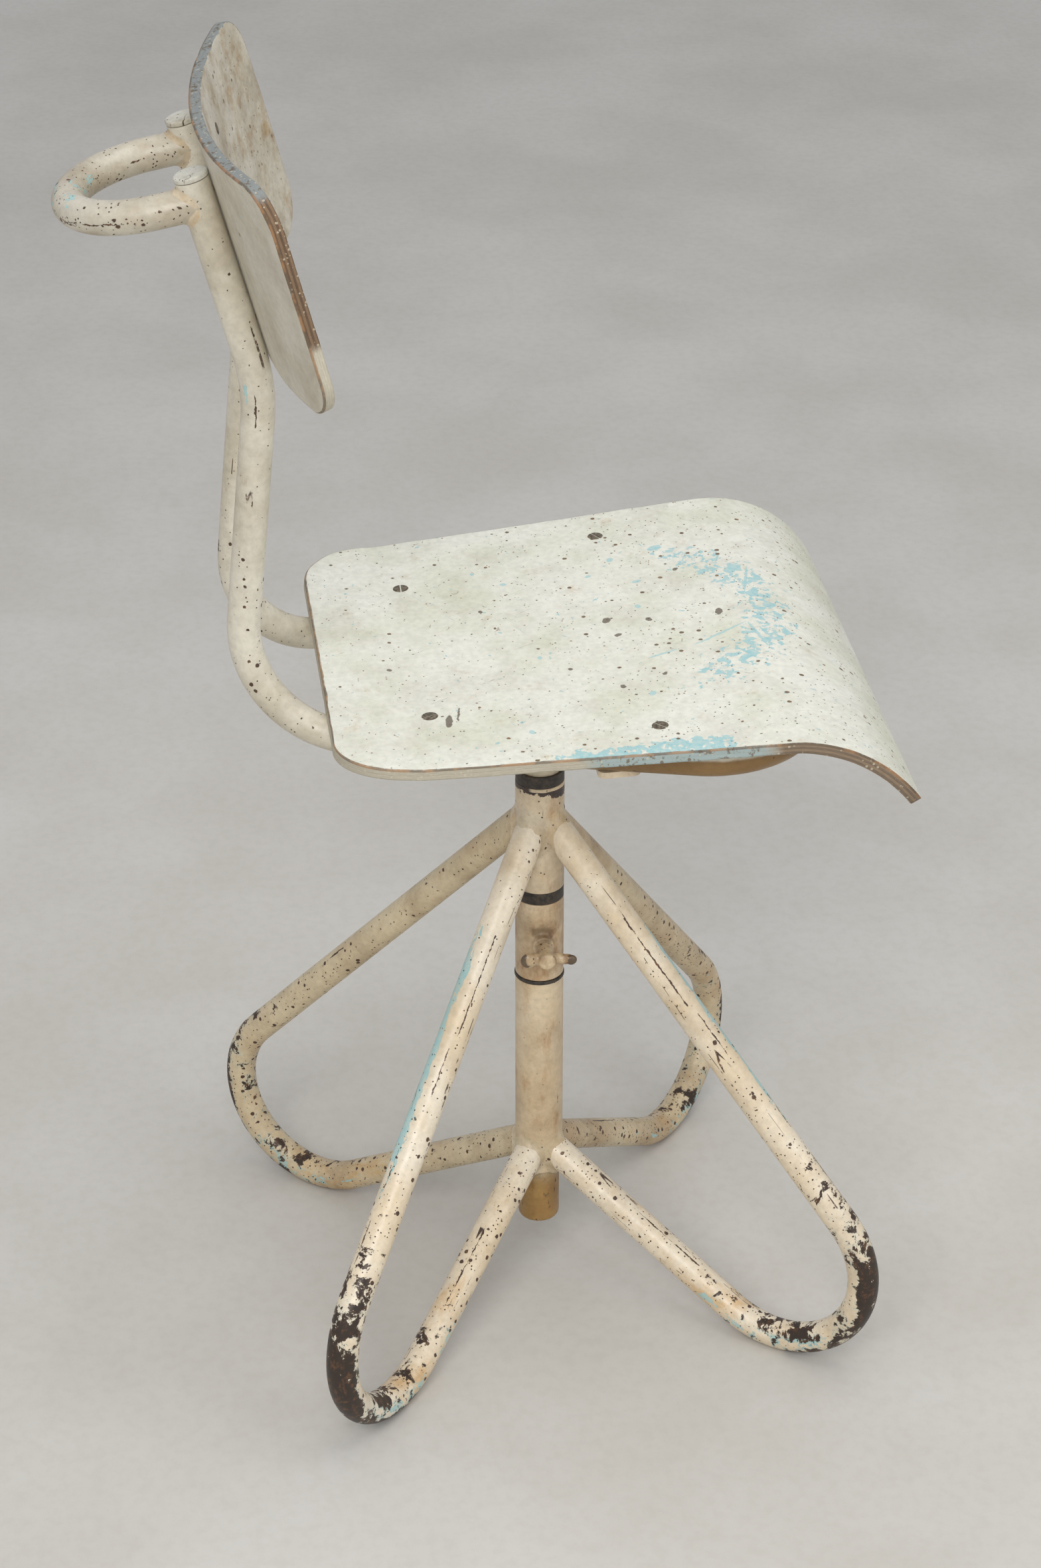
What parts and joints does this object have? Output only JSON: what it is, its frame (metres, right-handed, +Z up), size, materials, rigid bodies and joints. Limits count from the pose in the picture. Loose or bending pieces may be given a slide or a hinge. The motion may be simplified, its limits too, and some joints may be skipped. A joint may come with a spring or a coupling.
{
  "type": "drafting chair",
  "caption": "Swivelling drafting chair with a bent-tube base, a clamped height-adjustable post, a plywood seat and backrest, and a grab handle.",
  "frame": {"origin": "on the floor, at the axis of the column", "axes": "+Z up along the column; the sitter faces -Y, with the right hand at -X"},
  "size_m": [0.4993, 0.606, 1.0327],
  "materials": {
    "cream_enamel": "worn gloss enamel with rust and chips",
    "black_fibre": "matt black fibre",
    "painted_ply": "plywood under worn pale green enamel",
    "old_steel": "dark tarnished steel"
  },
  "bodies": {
    "base": {"upper_hub_tube": "cream_enamel", "lower_column_tube": "cream_enamel", "leg_rear_left": "cream_enamel", "leg_rear_right": "cream_enamel", "leg_front_right": "cream_enamel", "leg_front_left": "cream_enamel", "upper_hub_bush": "black_fibre", "lower_hub_bush": "black_fibre", "lower_tube_bush": "black_fibre", "lower_tube_top_bush": "black_fibre", "thrust_washer": "black_fibre"},
    "collar": {"locking_collar": "cream_enamel", "collar_boss": "cream_enamel"},
    "shoe": {"clamp_shoe": "old_steel"},
    "screw": {"wing_screw": "cream_enamel"},
    "seat": {"seat_post": "cream_enamel", "post_end_plug": "cream_enamel", "mounting_plate": "cream_enamel", "front_seat_strap": "cream_enamel", "rear_seat_strap": "cream_enamel", "seat_frame_tube": "cream_enamel", "post_cap_left": "cream_enamel", "post_cap_right": "cream_enamel", "handle_loop": "cream_enamel", "seat_shell": "painted_ply", "backrest_panel": "painted_ply", "seat_bolts": "old_steel", "seat_bolt_washers": "old_steel", "seat_bolt_nuts": "old_steel", "seat_spacers": "black_fibre", "backrest_screws": "old_steel"}
  },
  "joints": [
    {"name": "seat_swivel", "type": "hinge", "parent": "base", "child": "collar", "pos_m": [0, 0, 0.3], "axis": [0, 0, 1], "continuous": true},
    {"name": "height_slide", "type": "slide", "parent": "collar", "child": "seat", "axis": [0, 0, 1], "range_m": [-0.04, 0.15]},
    {"name": "shoe_slide", "type": "slide", "parent": "collar", "child": "shoe", "axis": [-1, 0, 0], "range_m": [0, 0.0025]},
    {"name": "wing_screw_turn", "type": "hinge", "parent": "shoe", "child": "screw", "pos_m": [-0.03, 0, 0.327], "axis": [-1, 0, 0], "range_deg": [0, 720]}
  ],
  "couplings": [
    {"joint": "shoe_slide", "follows": "wing_screw_turn", "m_per_rad": 0.00019894}
  ]
}
